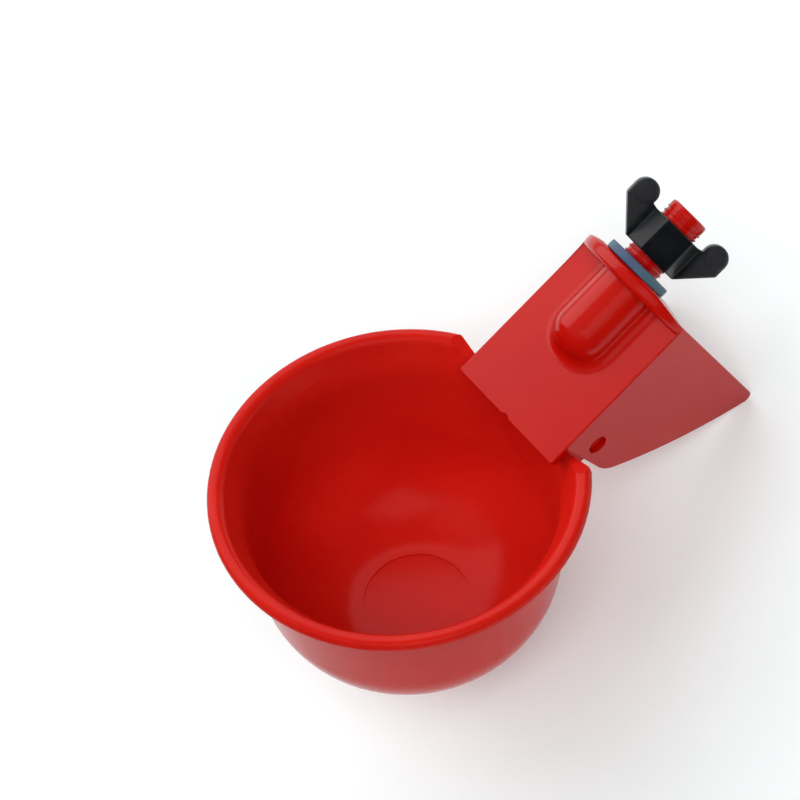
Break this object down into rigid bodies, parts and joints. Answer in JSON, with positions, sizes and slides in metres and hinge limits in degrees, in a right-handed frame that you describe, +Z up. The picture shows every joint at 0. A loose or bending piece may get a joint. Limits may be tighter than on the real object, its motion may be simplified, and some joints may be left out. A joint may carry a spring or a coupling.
{
  "type": "poultry drinking cup",
  "caption": "Self-filling drinking cup for poultry that screws through a water tank's wall: a bowl hinged under a hood opens the water valve when it is light.",
  "frame": {"origin": "on the spigot's axis, in the plane where the tank's wall seats on the washer's outer face", "axes": "+X across the cup, +Y along the spigot into the tank, +Z up; the bowl is in front, towards -Y"},
  "size_m": [0.08, 0.1235, 0.0696],
  "materials": {
    "hood_plastic": "red moulded plastic, satin gloss",
    "bowl_plastic": "red moulded plastic, satin gloss",
    "washer_rubber": "blue-grey rubber, satin",
    "nut_plastic": "black moulded plastic, satin",
    "pad_rubber": "black rubber",
    "spring_steel": "stainless wire"
  },
  "bodies": {
    "hood_body": {"hood": "hood_plastic", "sealing_washer": "washer_rubber", "return_spring": "spring_steel"},
    "bowl_body": {"bowl": "bowl_plastic", "valve_pad": "pad_rubber"},
    "nut_body": {"wing_nut": "nut_plastic"}
  },
  "joints": [
    {"name": "bowl_tilt", "type": "hinge", "parent": "hood_body", "child": "bowl_body", "pos_m": [0, -0.033, -0.01245], "axis": [1, 0, 0], "range_deg": [0, 23.5], "stiffness_Nm_per_rad": 0.034, "springref_deg": -25.21, "deforming": ["return_spring"]},
    {"name": "nut_turn", "type": "hinge", "parent": "hood_body", "child": "nut_body", "pos_m": [0, 0, 0], "axis": [0, 1, 0], "continuous": true}
  ]
}
